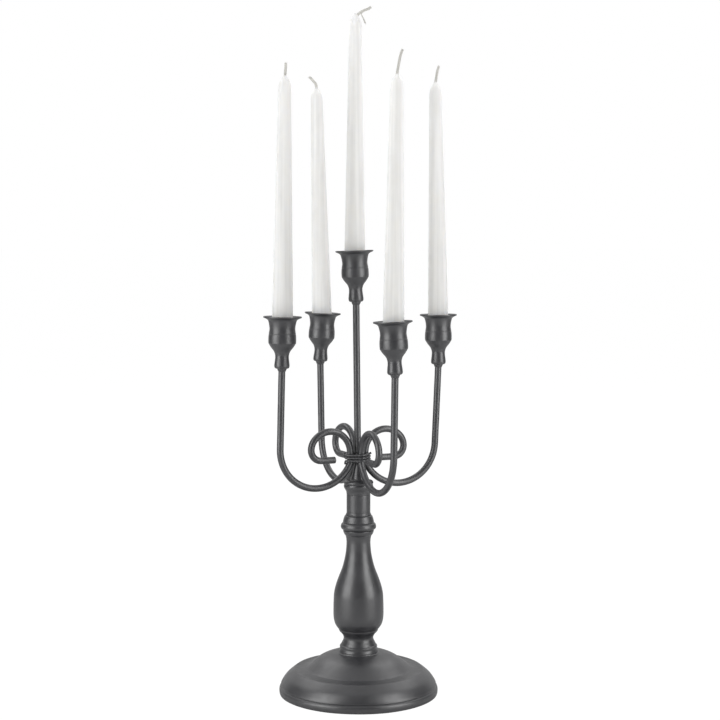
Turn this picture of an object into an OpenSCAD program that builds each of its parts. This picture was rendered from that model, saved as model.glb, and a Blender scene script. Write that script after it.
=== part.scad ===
// Five-light table candelabrum: a spun dome foot, a turned column in sections,
// a centre stem and four bent-rod arms bound with wire, five cups and five taper candles.
// Arms point along +X, +Y, -X and -Y. The origin is the centre of the felt underside.

/* [Foot] */
// Radius of the foot at its rolled lip
foot_r = 83.9; // [80:0.1:88]
// Height of the flat on which the column stands
foot_h = 43.3; // [42:0.1:46]
// Thickness of the felt disc
felt_t = 1.6; // [1:0.1:2]
// Thickness of the ballast plate that closes the foot
plate_t = 5; // [3:0.5:5]

/* [Column] */
// Height of the bottom section with its bead and waist
column_foot_h = 22.5; // [22:0.1:24]
// Height of the vase section
vase_h = 102.7; // [100:0.1:106]
// Height of the ringed collar
collar_h = 24.8; // [24.4:0.1:26]
// Height of the plain neck
neck_h = 18.7; // [16:0.1:24]
// Height of the cap, without its cone
cap_h = 15; // [14:0.5:16]
// Radius of the plain neck
neck_r = 12.5; // [12:0.1:13]

/* [Rods] */
// Radius of the rod that the stem and arms are bent from
rod_r = 3.55; // [3.4:0.01:3.6]
// Distance from the axis to each arm where the wire binds them
bundle_r = 7.5; // [7.4:0.05:7.6]
// Height of the middle of the wire binding
bind_z = 251.2; // [250:0.1:252]
// Length of each arm's upright above its bend
upright_l = 85; // [60:1:100]
// Radius of the arm's large bend
arm_bend_r = 42.4; // [41:0.1:43]
// Height of the underside of the centre cup
centre_cup_z = 415; // [400:0.1:430]
// Radius of the binding wire
wire_r = 1.2; // [1:0.05:1.3]

/* [Candles] */
// Length of each candle without its wick
candle_l = 271; // [120:1:271]
// Radius of a candle's foot
candle_r = 11; // [10:0.1:11]

/* [Hidden] */

turned_fn = 128;
bend_fn = 180;
rod_fn = 48;
metal = "#48494c";
wax = "#ecebe8";
steel = "#8d8f92";

// Branches in order: right (+X), back (+Y), left (-X), front (-Y), then the centre
RIGHT = 0;
BACK = 1;
LEFT = 2;
FRONT = 3;
CENTRE = 4;

// The object was bent and welded by hand, so each branch has its own small errors.
// Direction of each arm about the axis
arm_azimuth = [-2, 92.2, 180.5, 268.5];
// Outward lean of each arm's upright
upright_lean = [2.6, 1.9, -1.5, 1.9];
// How much longer each arm's upright came out than it should
upright_error = [0.4, 0, -0.5, -0.1];
// Direction in which the free leans below are measured, and its opposite
side_a = -25;
side_b = 155;
// How much further out each arm stands where the wire binds it
bound_error = [0, 0, 1.8, 0];
// How much lower each arm's large bend came out
bend_drop = [-0.4, 0, -0.3, 1];
// How much larger each arm's scroll came out, and how much lower
scroll_error = [-0.7, 0.9, -0.4, -0.2];
scroll_drop = [-0.7, 0, -0.4, 0.6];
// Lean of each cup from the vertical, and the direction it leans to
cup_lean = [0.3, 3, 0.9, 2.7, 2];
cup_lean_to = [side_b, side_a, side_a, side_b, side_b];
// Lean of each candle from the vertical, and the direction it leans to
candle_lean = [0.9, 1.3, 0.75, 0.75, 0.15];
candle_lean_to = [side_b, side_b, side_a, side_a, side_a];
// The stem's two small bends: each one's height, and the lean above it
stem_bend_z = [241.6, 262];
stem_lean = [2.4, 0.6];

// Heights up the column
vase_z = foot_h + column_foot_h;
collar_z = vase_z + vase_h;
neck_z = collar_z + collar_h;
cap_z = neck_z + neck_h;
cap_top_z = cap_z + cap_h;
cone_h = 18;
cone_top_z = cap_top_z + cone_h;

// Tie rod, a plain bar in place of its M8 thread, with the parts that it clamps
tie_r = 3.9;
tie_thread_r = 4;
tie_clear_r = 4.3;
tie_bottom_z = 27;
tie_top_z = cap_z + 10;
washer_t = 2;
nut_t = 6.5;
nut_flats = 13;
seat_z = foot_h - 3.7;

// Cup, measured up from a little above its underside
cup_base = 0.8;
cup_h = 52.5;
cup_neck_h = 39;
socket_depth = 5;
rod_fit = 0.03;
weld_r = 4.4;
weld_h = 4;
weld_sink = 0.3;
// Height of the candle's foot below the cup's neck
candle_drop = 15.2;
wick_r = 1.4;
wick_fit = 0.05;
wick_bottom = 6;

// ---------- curve helpers ----------

// Points on an arc about c from angle a to angle b
function arc(c, r, a, b, n = 8) =
    [for (i = [0:n]) c + r * [cos(a + (b - a) * i / n), sin(a + (b - a) * i / n)]];

// A smooth curve through p, with n steps between neighbours
function curve(p, n = 4) = [
    for (i = [0:len(p) - 2]) for (k = [0:n - 1])
        curve_at(p[max(i - 1, 0)], p[i], p[i + 1], p[min(i + 2, len(p) - 1)], k / n),
    p[len(p) - 1]
];
function curve_at(a, b, c, d, t) =
    b + t / 2 * ((c - a) + t * ((2 * a - 5 * b + 4 * c - d) + t * (3 * (b - c) + d - a)));

module turned(outline) {
    rotate_extrude($fn = turned_fn) polygon(outline);
}

module lean(angle, toward) {
    rotate([0, 0, toward]) rotate([0, angle, 0]) rotate([0, 0, -toward]) children();
}

// ---------- bent rods ----------
// A rod is bent in its own X-Z plane. A state is [x, z, heading]. A step is
// [radius, degrees to the left], or [0, length] for a straight.

function step_end(s, step) =
    step[0] == 0
        ? [s[0] + step[1] * cos(s[2]), s[1] + step[1] * sin(s[2]), s[2]]
        : let (r = step[0] * sign(step[1]), h = s[2] + step[1])
            [s[0] + r * (sin(h) - sin(s[2])), s[1] - r * (cos(h) - cos(s[2])), h];

function rod_states(start, steps) = [
    for (i = 0, s = start; i <= len(steps);
        s = i < len(steps) ? step_end(s, steps[i]) : s, i = i + 1) s
];

// Each step stops short of its ends, where a ball a little fatter than the rod joins it to the next
joint_ball = 1.014;
joint_gap = 0.08;

module rod_step(s, step, r, gap_a, gap_b) {
    if (step[0] == 0) {
        translate([s[0], 0, s[1]]) rotate([0, 90 - s[2], 0]) translate([0, 0, gap_a])
            cylinder(r = r, h = step[1] - gap_a - gap_b, $fn = rod_fn);
    } else {
        left = sign(step[1]);
        centre = [s[0] - left * step[0] * sin(s[2]), 0, s[1] + left * step[0] * cos(s[2])];
        trim_a = gap_a / step[0] * 180 / PI;
        trim_b = gap_b / step[0] * 180 / PI;
        from = left > 0 ? s[2] - 90 + trim_a : s[2] + 90 + step[1] + trim_b;
        translate(centre) rotate([90, 0, 0]) rotate([0, 0, from])
            rotate_extrude(angle = abs(step[1]) - trim_a - trim_b, $fn = bend_fn) translate([step[0], 0])
                circle(r = r, $fn = rod_fn);
    }
}

// With starts_joined, the rod's first end runs into a ball of its own too. Its last straight is
// longer by extra.
module bent_rod(start, steps, r, starts_joined = false, extra = 0) {
    states = rod_states(start, steps);
    last = len(steps) - 1;
    gap = joint_gap * r;
    for (i = [0:last])
        rod_step(states[i], i < last ? steps[i] : steps[i] + [0, extra], r,
            i > 0 || starts_joined ? gap : 0, i < last ? gap : 0);
    for (i = [starts_joined ? 0 : 1:1:last])
        translate([states[i][0], 0, states[i][1]]) sphere(r = joint_ball * r, $fn = rod_fn);
}

// Each arm starts where it is bound: one way down, round the large bend and up to the cup, and the
// other way up, over the top of the scroll and back towards the stem
bind_top_z = bind_z + 1.1;
flare_r = 10;
flare = 27;
function bound_reach(b) = bundle_r + bound_error[b];
function arm_start(b, up_or_down) = [bound_reach(b), bind_top_z - scroll_drop[b], up_or_down];
function large_bend(b) = [arm_bend_r - bound_error[b] / 2, 180 - flare - upright_lean[b]];
function arm_steps(b) = [
    [0, 3.8 + bend_drop[b] - scroll_drop[b] + 0.3 * bound_error[b]],
    [flare_r, flare],
    large_bend(b),
    [0, upright_l + upright_error[b]]
];
function scroll_steps(b) = let (r = 23.5 + scroll_error[b])
    [[45, -10], [r, -130], [16, -40], [11.5, -90], [0, 15.5]];

// Top of an arm, where the underside of its cup is: [reach, height]
function arm_top(b) = rod_states(arm_start(b, -90), arm_steps(b))[4];

module arm(b) {
    color(metal) rotate([0, 0, arm_azimuth[b]]) {
        bent_rod(arm_start(b, -90), arm_steps(b), rod_r, true, socket_depth - 0.5);
        bent_rod(arm_start(b, 90), scroll_steps(b), rod_r, true);
    }
}

stem_bottom_z = cap_top_z - 1;
stem_steps = [
    [0, stem_bend_z[0] - stem_bottom_z],
    [0, (stem_bend_z[1] - stem_bend_z[0]) / cos(stem_lean[0])],
    [0, (centre_cup_z - stem_bend_z[1]) / cos(stem_lean[1])]
];
stem_headings = [90, 90 - stem_lean[0], 90 - stem_lean[1]];
// Each straight starts where the one before ends, at its own heading
stem_middle = step_end([0, stem_bend_z[0], stem_headings[1]], stem_steps[1]);
stem_top = step_end([stem_middle[0], stem_middle[1], stem_headings[2]], stem_steps[2]);

module centre_stem() {
    gap = joint_gap * rod_r;
    color(metal) rotate([0, 0, side_b]) {
        rod_step([0, stem_bottom_z, 90], stem_steps[0], rod_r, 0, gap);
        rod_step([0, stem_bend_z[0], stem_headings[1]], stem_steps[1], rod_r, gap, gap);
        rod_step([stem_middle[0], stem_middle[1], stem_headings[2]], stem_steps[2] + [0, socket_depth - 0.5],
            rod_r, gap, 0);
        translate([0, 0, stem_bend_z[0]]) sphere(r = joint_ball * rod_r, $fn = rod_fn);
        translate([stem_middle[0], 0, stem_middle[1]]) sphere(r = joint_ball * rod_r, $fn = rod_fn);
    }
}

// ---------- frames of the cups and candles ----------

// Moves its children to a branch's rod end, with Z along the rod
module at_rod_end(b) {
    if (b == CENTRE) {
        rotate([0, 0, side_b]) translate([stem_top[0], 0, stem_top[1]])
            rotate([0, stem_lean[1], 0]) children();
    } else {
        top = arm_top(b);
        rotate([0, 0, arm_azimuth[b]]) translate([top[0], 0, top[1]])
            rotate([0, upright_lean[b], 0]) children();
    }
}

// Position of a branch's rod end
function rod_end(b) =
    b == CENTRE
        ? [stem_top[0] * cos(side_b), stem_top[0] * sin(side_b), stem_top[1]]
        : let (t = arm_top(b)) [t[0] * cos(arm_azimuth[b]), t[0] * sin(arm_azimuth[b]), t[1]];

// Middle of a cup's neck
function cup_neck(b) = rod_end(b) + cup_neck_h
    * [sin(cup_lean[b]) * cos(cup_lean_to[b]), sin(cup_lean[b]) * sin(cup_lean_to[b]), cos(cup_lean[b])];

module at_cup(b) {
    translate(rod_end(b)) lean(cup_lean[b], cup_lean_to[b]) children();
}

// Moves its children to a candle's foot, with Z along the candle
module at_candle(b) {
    translate(cup_neck(b)) lean(candle_lean[b], candle_lean_to[b]) translate([0, 0, -candle_drop]) children();
}

// ---------- foot ----------

module base_shell() {
    lip_z = 0.4;
    ledge_r = foot_r - 6.5;
    outside = concat(
        [[foot_r - 0.6, lip_z]],
        curve([[foot_r - 0.2, 1.8], [foot_r, 4.4], [foot_r - 0.5, 7], [foot_r - 2.2, 8.9]], 3),
        curve([[foot_r - 1.6, 9.6], [foot_r - 2.6, 12.4], [foot_r - 6.8, 18.4], [foot_r - 12, 23.3],
            [foot_r - 16.1, 26]], 4),
        curve([[foot_r - 17, 26.1], [foot_r - 21, 26], [foot_r - 25, 26.3], [foot_r - 28.6, 27]], 3),
        curve([[foot_r - 30, 27.9], [50, 31.1], [44.4, 35.6], [38.4, 39.2], [31.6, 41.9], [27, 43],
            [24.4, foot_h]], 3)
    );
    inside = [
        [tie_clear_r, seat_z], [21, seat_z], [30, 36.8], [48, 26.4], [63, 22.8], [72.5, 16.5],
        [ledge_r, 10], [ledge_r, felt_t + plate_t], [foot_r - 3.3, felt_t + plate_t], [foot_r - 3.3, lip_z]
    ];
    color(metal) turned(concat(outside, [[tie_clear_r, foot_h]], inside));
}

module base_plate() {
    color(steel) translate([0, 0, felt_t]) cylinder(r = foot_r - 3.4, h = plate_t, $fn = turned_fn);
}

module felt_disc() {
    color("#262626") cylinder(r = foot_r - 3.6, h = felt_t, $fn = turned_fn);
}

module tie_rod() {
    color(steel) translate([0, 0, tie_bottom_z])
        cylinder(r = tie_r, h = tie_top_z - tie_bottom_z, $fn = rod_fn);
}

module tie_washer() {
    color(steel) translate([0, 0, seat_z - washer_t]) difference() {
        cylinder(r = 11, h = washer_t, $fn = rod_fn);
        translate([0, 0, -1]) cylinder(r = tie_clear_r, h = washer_t + 2, $fn = rod_fn);
    }
}

module tie_nut() {
    color(steel) translate([0, 0, seat_z - washer_t - nut_t]) difference() {
        cylinder(d = nut_flats / cos(30), h = nut_t, $fn = 6);
        translate([0, 0, -1]) cylinder(r = tie_thread_r, h = nut_t + 2, $fn = rod_fn);
    }
}

// ---------- column ----------

// Turns a section from its outside, given from its bottom to its top, round the tie rod
module section(z, h, outside) {
    color(metal) translate([0, 0, z])
        turned(concat([[tie_clear_r, 0]], outside, [[tie_clear_r, h]]));
}

module column_foot() {
    h = column_foot_h;
    section(foot_h, h, concat(
        curve([[20.1, 0], [20.6, 1.1], [20.6, 2.4], [20, 3.8], [19.7, 5.2], [19.8, 6.8], [19.6, 7.8],
            [19, 8.4]], 3),
        curve([[18.6, 8.8], [18.2, 9.6], [17.4, 11.2], [16.4, 13], [15.8, 14.8], [15.7, 16.4], [16, 17.8],
            [16.6, 19.1], [17.4, 20.3], [18.5, 21.5], [19.3, h]], 3)
    ));
}

module column_vase() {
    h = vase_h;
    outside = concat(
        curve([[19.5, 0], [20.2, 0.9], [20.7, 1.9], [20.9, 2.9]], 2),
        curve([[21.2, 3.3], [22.5, 4.9], [23.9, 7.1], [25, 9.4], [25.7, 11.8], [26.2, 14.4], [26.5, 18.5],
            [26.5, 26.5], [26.3, 33.5], [25.7, 42.1], [23.7, 50.5], [20.5, 59.5], [17.35, 67.5], [15, 76.1],
            [13.4, 84.6], [12.7, 93.1], [12.8, 98.2], [13.6, h]], 3)
    );
    inside = curve([[tie_clear_r, h - 12], [9, 86], [10.5, 78], [14.2, 65], [20.6, 48.5], [23, 38], [23, 14],
        [17, 6.5], [tie_clear_r, 5]], 3);
    color(metal) translate([0, 0, vase_z])
        turned(concat([[tie_clear_r, 0]], outside, [[tie_clear_r, h]], inside));
}

module column_collar() {
    section(collar_z, collar_h, concat(
        curve([[13.9, 0], [14.7, 1.1], [15.4, 2.3], [15.9, 3.7], [16.2, 5], [16, 5.6]], 3),
        curve([[16, 6], [17.4, 6.8], [18.3, 7.9], [18.6, 9.3], [18.4, 10.8], [17.9, 12.1], [16.9, 13.1]], 3),
        curve([[16, 13.5], [16.3, 14.2], [16.2, 15.2], [15.8, 16.8], [15.3, 18.6], [14.5, 20.6]], 3),
        curve([[13.5, 21.3], [13.5, 21.9], [13.1, 22.7], [12.6, 23.6], [neck_r, collar_h]], 3)
    ));
}

module column_neck() {
    section(neck_z, neck_h, [[neck_r, 0], [neck_r, neck_h]]);
}

module column_cap() {
    color(metal) translate([0, 0, cap_z]) difference() {
        turned(concat(
            [[0, 0], [neck_r, 0]],
            curve([[12.6, 0.9], [12.8, 2.6], [13.3, 3.9], [14.2, 5.4], [15, 6.9], [15.4, 8.2], [15.4, 9.5],
                [15.1, 10.4]], 3),
            curve([[14.8, 10.8], [15.3, 11.4], [15.6, 12.3], [15.4, 13.3], [14.8, 14.1], [13.8, 14.7]], 3),
            [[12.8, cap_h], [9.6, cap_h]],
            curve([[9, cap_h + 0.3], [7.9, cap_h + 2.2], [7, cap_h + 5], [6.2, cap_h + 9], [5.1, cap_h + 14],
                [rod_r + 0.35, cap_h + cone_h]], 3),
            [[0, cap_h + cone_h]]
        ));
        translate([0, 0, -1]) cylinder(r = tie_thread_r, h = tie_top_z - cap_z + 1.5, $fn = rod_fn);
        translate([0, 0, cap_h - 1.2]) cylinder(r = rod_r + rod_fit, h = cone_h + 2, $fn = rod_fn);
    }
}

// ---------- binding ----------

// The wire goes round the four arms counter-clockwise, rising steadily. Its way is counted in arms:
// arm i is branch i % 4. It starts on the left arm and ends where it meets the right arm.
wire_gap = 0.2;
wire_hug = rod_r + wire_r + wire_gap;
wire_pitch = 2.9;
wire_sides = 10;
wire_rounds = 3;
wire_first = LEFT;
wire_last = 4 * wire_rounds + RIGHT;
wire_middle = (wire_first + wire_last) / 2;
bend_steps = 8;
straight_steps = 3;

// The tacks: one lies further out, where the stem leans towards it
tack_r = 1.5;
tack_reach = [5.3, 5.9, 5.3, 5.3];

function unit(v) = v / norm(v);
function direction(angle) = [cos(angle), sin(angle), 0];
function heading(v) = atan2(v[1], v[0]);
function bound_at(i) = bound_reach(i % 4) * direction(arm_azimuth[i % 4]);
// Side of an arm, as an angle, where the wire leaves it for the next
function leave(i) = heading(bound_at(i + 1) - bound_at(i)) - 90;
function wire_height(i) = bind_z + (i - wire_middle) / 4 * wire_pitch;
// Points round arm i, from share a to share b of its bend
function wire_bend(i, a = 0, b = 1) =
    let (from = leave(i + 3), turn = (leave(i) - from + 720) % 360)
    [for (k = [a * bend_steps:b * bend_steps]) let (share = k / bend_steps)
        bound_at(i) + wire_hug * direction(from + turn * share) + [0, 0, wire_height(i + share / 2)]];
// Points on the way from arm i to the next
function wire_straight(i) =
    [for (k = [1:straight_steps - 1]) let (share = k / straight_steps)
        bound_at(i) * (1 - share) + bound_at(i + 1) * share + wire_hug * direction(leave(i))
            + [0, 0, wire_height(i + 0.5 + share / 2)]];
// A free end of the wire: from p along ahead, bending by bend degrees towards aside, and then straight
function wire_end(p, ahead, aside, r, bend, straight) =
    let (tip = p + r * (sin(bend) * ahead + (1 - cos(bend)) * aside))
    concat(
        [for (k = [1:5]) let (a = bend * k / 5) p + r * (sin(a) * ahead + (1 - cos(a)) * aside)],
        [tip + straight * (cos(bend) * ahead + sin(bend) * aside)]
    );
wire_body = concat(
    wire_bend(wire_first, 0.5, 1),
    [for (i = [wire_first + 1:wire_last - 1]) each concat(wire_straight(i - 1), wire_bend(i))],
    wire_straight(wire_last - 1),
    wire_bend(wire_last, 0, 0)
);
// The first end hangs down beside the left arm, and the last one is bent outwards beside the right arm
body_end = len(wire_body) - 1;
outwards = unit(direction(leave(wire_last - 1)) + [0, 0, 0.35]);
wire_hanging = wire_end(wire_body[0], unit(wire_body[0] - wire_body[1]), [0, 0, -1],
    r = 1.9, bend = 75, straight = 2.2);
wire_cut = wire_end(wire_body[body_end], unit(wire_body[body_end] - wire_body[body_end - 1]), outwards,
    r = 2.2, bend = 60, straight = 0.6);
wire_route = concat([for (i = [len(wire_hanging) - 1:-1:0]) wire_hanging[i]], wire_body, wire_cut);

function ring_about(p, along, r, n) =
    let (a = unit(cross(along, [0, 0, 1])), b = cross(unit(along), a))
        [for (k = [0:n - 1]) p + r * (cos(360 * k / n) * a + sin(360 * k / n) * b)];

// Sweeps a round section along a route that never runs straight up
module sweep(route, r, n) {
    last = len(route) - 1;
    rings = [for (i = [0:last])
        ring_about(route[i], route[min(i + 1, last)] - route[max(i - 1, 0)], r, n)];
    sides = [for (i = [0:last - 1]) for (k = [0:n - 1])
        [i * n + k, (i + 1) * n + k, (i + 1) * n + (k + 1) % n, i * n + (k + 1) % n]];
    polyhedron([for (ring = rings) each ring],
        concat([[for (k = [0:n - 1]) k]], sides, [[for (k = [n - 1:-1:0]) last * n + k]]), convexity = 8);
}

module binding_wire() {
    color(metal) sweep(wire_route, wire_r, wire_sides);
}

// A tack in each corner between the stem and two arms
module arm_welds() {
    color(metal) for (b = [0:3])
        rotate([0, 0, 45 + b * 90]) translate([tack_reach[b], 0, bind_z - 5])
            cylinder(r = tack_r, h = 9, $fn = rod_fn);
}

// ---------- cups ----------

// A cone of weld round the rod, let a little into the cup's underside
module cup_weld() {
    fit_r = rod_r + rod_fit;
    top = weld_sink - 0.05;
    turned([[fit_r, -weld_h], [fit_r + 0.25, -weld_h], [weld_r, -1.2], [weld_r, top], [fit_r, top]]);
}

module cup_welds() {
    color(metal) for (b = [0:4]) at_rod_end(b) cup_weld();
}

module cup(b) {
    outside = concat(
        [[0, -cup_base], [6.3, -cup_base], [7.4, 0]],
        curve([[7.7, 0.8], [7.85, 2.4], [7.6, 5], [7.15, 8.6], [7, 11], [7.2, 13.4], [8.5, 17], [11.6, 21],
            [13.7, 24.4]], 3),
        curve([[14.1, 25], [14.25, 27.5], [14.2, 31], [13.8, 35], [13.2, 39], [13.45, 43], [14.3, 47],
            [14.9, 48.5], [16.3, 49.7], [18.3, 50.6], [19.3, 50.9]], 3)
    );
    inside = concat(
        curve([[19.5, cup_h], [17.4, 52.2], [14.9, 51], [13.4, 48], [12.5, 44], [12.1, 39], [12.75, 34],
            [13.2, 29.6], [13, 26.4], [11.6, 23.4], [9.4, 20.6], [7, 18]], 3),
        [[3, 14], [0, 13.4]]
    );
    color(metal) difference() {
        at_cup(b) turned(concat(outside, [[19.8, 51.6]], inside));
        at_rod_end(b) translate([0, 0, -2]) cylinder(r = rod_r + rod_fit, h = socket_depth + 2, $fn = rod_fn);
        at_rod_end(b) translate([0, 0, -2]) cylinder(r = weld_r + rod_fit, h = weld_sink + 2, $fn = rod_fn);
    }
}

// ---------- candles ----------

module candle(b) {
    l = candle_l;
    outside = concat(
        [[0, 0], [candle_r - 1, 0], [candle_r - 0.2, 0.5], [candle_r, 1.6]],
        curve([[candle_r - 0.05, 10], [10.5, 42], [9.8, l * 0.3], [7.9, l * 0.68], [6.7, l - 16]], 5),
        curve([[6.4, l - 10], [5.9, l - 7], [4.9, l - 4.3], [3.4, l - 1.9], [2.3, l - 0.3],
            [wick_r + wick_fit, l]], 3),
        [[wick_r + wick_fit, wick_bottom - 1], [0, wick_bottom - 1]]
    );
    color(wax) at_candle(b) turned(outside);
}

// Each wick above the wax: [straight, bend radius, bend, length past the bend], and the way it bends
wick_shape = [
    [0, 12, 13, 16.5],
    [2.3, 7, 42, 8],
    [-3, 30, 4, 14.3],
    [0, 12, 12.5, 22.5],
    [-1.3, 3.5, 69, 14.4]
];
wick_toward = [side_a, side_b, side_a, side_a, side_a];

module wick(b) {
    w = wick_shape[b];
    color("#d8d4c8") at_candle(b) rotate([0, 0, wick_toward[b]])
        bent_rod([0, wick_bottom, 90],
            [[0, candle_l - wick_bottom + w[0]], [w[1], -w[2]], [0, w[3]]], wick_r);
}

base_shell();
base_plate();
felt_disc();
tie_rod();
tie_washer();
tie_nut();
column_foot();
column_vase();
column_collar();
column_neck();
column_cap();
centre_stem();
arm(RIGHT);  // arm_right
arm(BACK);  // arm_back
arm(LEFT);  // arm_left
arm(FRONT);  // arm_front
binding_wire();
arm_welds();
cup_welds();
cup(CENTRE);  // cup_centre
cup(RIGHT);  // cup_right
cup(BACK);  // cup_back
cup(LEFT);  // cup_left
cup(FRONT);  // cup_front
candle(CENTRE);  // candle_centre
candle(RIGHT);  // candle_right
candle(BACK);  // candle_back
candle(LEFT);  // candle_left
candle(FRONT);  // candle_front
wick(CENTRE);  // wick_centre
wick(RIGHT);  // wick_right
wick(BACK);  // wick_back
wick(LEFT);  // wick_left
wick(FRONT);  // wick_front
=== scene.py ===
"""Looks of the five-light candelabrum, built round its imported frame.

Outlines are in millimetres, as (radius, height) or (reach, height).
Meshes are in metres, in the frame's axes.
"""

import math
import random

import bpy
import numpy as np
from mathutils import Matrix, Vector, noise


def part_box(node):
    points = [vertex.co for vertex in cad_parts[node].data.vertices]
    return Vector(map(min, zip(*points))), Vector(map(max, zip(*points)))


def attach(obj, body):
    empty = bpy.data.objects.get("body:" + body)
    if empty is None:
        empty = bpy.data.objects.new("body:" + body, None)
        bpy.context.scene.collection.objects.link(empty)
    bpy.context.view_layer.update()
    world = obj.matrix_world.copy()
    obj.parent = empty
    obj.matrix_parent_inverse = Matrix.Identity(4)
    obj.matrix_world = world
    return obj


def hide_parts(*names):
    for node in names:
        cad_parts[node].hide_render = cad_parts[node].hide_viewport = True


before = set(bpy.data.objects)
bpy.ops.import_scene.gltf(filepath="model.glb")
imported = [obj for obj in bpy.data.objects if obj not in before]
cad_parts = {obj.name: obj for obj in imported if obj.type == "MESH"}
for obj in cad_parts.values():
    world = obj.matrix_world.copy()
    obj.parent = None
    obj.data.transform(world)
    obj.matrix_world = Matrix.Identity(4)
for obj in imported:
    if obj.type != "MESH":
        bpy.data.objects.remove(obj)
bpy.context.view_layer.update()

MM = 0.001
STAND = "stand"
scene = bpy.context.scene

# Branches of the candelabrum, hand bent, so each has its own small errors. Angles are in degrees.
# Each arm has its azimuth, the outward lean and length of its upright, the radius of its scroll, and how far
# its scroll and its large bend hang below the usual.
ARMS = {
    "right": dict(azimuth=-2, lean=2.6, upright=85.4, scroll_r=22.8, scroll_drop=-0.7, bend_drop=-0.4),
    "back": dict(azimuth=92.2, lean=1.9, upright=85, scroll_r=24.4, scroll_drop=0, bend_drop=0),
    "left": dict(azimuth=180.5, lean=-1.5, upright=84.5, scroll_r=23.1, scroll_drop=-0.4, bend_drop=-0.3),
    "front": dict(azimuth=268.5, lean=1.9, upright=84.9, scroll_r=23.3, scroll_drop=0.6, bend_drop=1),
}
# How much further out than the others the left arm stands where the wire binds it
LEFT_OUT = 1.8
BRANCHES = [*ARMS, "centre"]
# Cups, candles and the stem lean towards one of two opposite azimuths
SIDE_A = -25
SIDE_B = 155
CUP_LEAN = {
    "right": (0.3, SIDE_B),
    "back": (3, SIDE_A),
    "left": (0.9, SIDE_A),
    "front": (2.7, SIDE_B),
    "centre": (2, SIDE_B),
}
CANDLE_LEAN = {
    "right": (0.9, SIDE_B),
    "back": (1.3, SIDE_B),
    "left": (0.75, SIDE_A),
    "front": (0.75, SIDE_A),
    "centre": (0.15, SIDE_A),
}

# Rods
ROD_R = 3.55
BUNDLE_R = 7.5
BIND_Z = 251.2
BIND_TOP_Z = BIND_Z + 1.1
ARM_BEND_R = 42.4
# Heights of the two small bends in the stem, and its lean above each
STEM_BENDS = ((241.6, 2.4), (262, 0.6))
CENTRE_CUP_Z = 415
# How far a rod goes up into its cup
ROD_IN_CUP = 4.5
WIRE_R = 1.2
TACK_R = 1.5
TACK_REACH = (5.3, 5.9, 5.3, 5.3)

# Cups and candles. CUP_NECK is the narrowest level of a cup, and CANDLE_DROP the candle's foot below it.
CUP_H = 52.5
CUP_BASE = -0.8
CUP_NECK = 39
CANDLE_DROP = 15.2
CANDLE_L = 271
CANDLE_R = 11

# How finely meshes are cut, and how far edges are rounded
TURNS = 192
ROD_SIDES = 32
EDGE = 0.35


# ---------- outlines ----------


def polar(radius, degrees):
    return np.array([math.cos(math.radians(degrees)), math.sin(math.radians(degrees))]) * radius


def curve(points, steps=6):
    """A smooth curve through points, with steps pieces between neighbours."""
    points = [np.array(p, float) for p in points]
    last = len(points) - 1
    smooth = []
    for i in range(last):
        a, b, c, d = points[max(i - 1, 0)], points[i], points[i + 1], points[min(i + 2, last)]
        for t in np.arange(steps) / steps:
            bend = 2 * a - 5 * b + 4 * c - d + t * (3 * (b - c) + d - a)
            smooth.append(b + t / 2 * (c - a + t * bend))
    return smooth + [points[last]]


def soften(outline, size, steps=4, sharp=14):
    """Rounds the corners of a closed outline, as paint and polishing do, and holds the flats beside them.

    A corner is rounded if the outline turns there by more than sharp degrees.
    """
    outline = [np.array(p, float) for p in outline]
    hold = 0.25
    soft = []
    for i, corner in enumerate(outline):
        back = outline[i - 1] - corner
        ahead = outline[(i + 1) % len(outline)] - corner
        back_l, ahead_l = np.linalg.norm(back), np.linalg.norm(ahead)
        cosine = -back @ ahead / (back_l * ahead_l)
        if math.degrees(math.acos(np.clip(cosine, -1, 1))) < sharp or corner[0] < 1e-6:
            soft.append(corner)
            continue
        reach = min(size, 0.4 * back_l, 0.4 * ahead_l)
        start, end = corner + back / back_l * reach, corner + ahead / ahead_l * reach
        soft.append(start + (start - corner) * hold)
        for t in np.arange(steps + 1) / steps:
            soft.append((1 - t) ** 2 * start + 2 * t * (1 - t) * corner + t * t * end)
        soft.append(end + (end - corner) * hold)
    return soft


# ---------- meshes ----------


def add_mesh(name, points, faces):
    """A smooth-shaded object from points in millimetres."""
    mesh = bpy.data.meshes.new(name)
    mesh.from_pydata((np.array(points) * MM).tolist(), [], faces)
    mesh.validate()
    mesh.shade_smooth()
    piece = bpy.data.objects.new(name, mesh)
    scene.collection.objects.link(piece)
    return piece


def join_rings(rings, closed=False):
    """Faces between rings of point numbers. A ring of one number repeated is a pole."""
    faces = []
    pairs = list(zip(rings, rings[1:]))
    if closed:
        pairs.append((rings[-1], rings[0]))
    for low, high in pairs:
        sides = len(low)
        for k in range(sides):
            j = (k + 1) % sides
            face = list(dict.fromkeys([low[k], low[j], high[j], high[k]]))
            if len(face) > 2:
                faces.append(face)
    return faces


def turned(name, outline, sides=TURNS, place=None):
    """Turns an outline about the Z axis. It closes on itself, or on the axis if its ends are at radius 0."""
    angles = 2 * math.pi * np.arange(sides) / sides
    points, rings = [], []
    for radius, height in outline:
        first = len(points)
        if radius < 1e-6:
            points.append((0, 0, height))
            rings.append([first] * sides)
        else:
            points += [(radius * math.cos(a), radius * math.sin(a), height) for a in angles]
            rings.append(list(range(first, first + sides)))
    closed = outline[0][0] > 1e-6
    piece = add_mesh(name, points, join_rings(rings, closed))
    if place is not None:
        piece.data.transform(place)
    return piece


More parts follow.
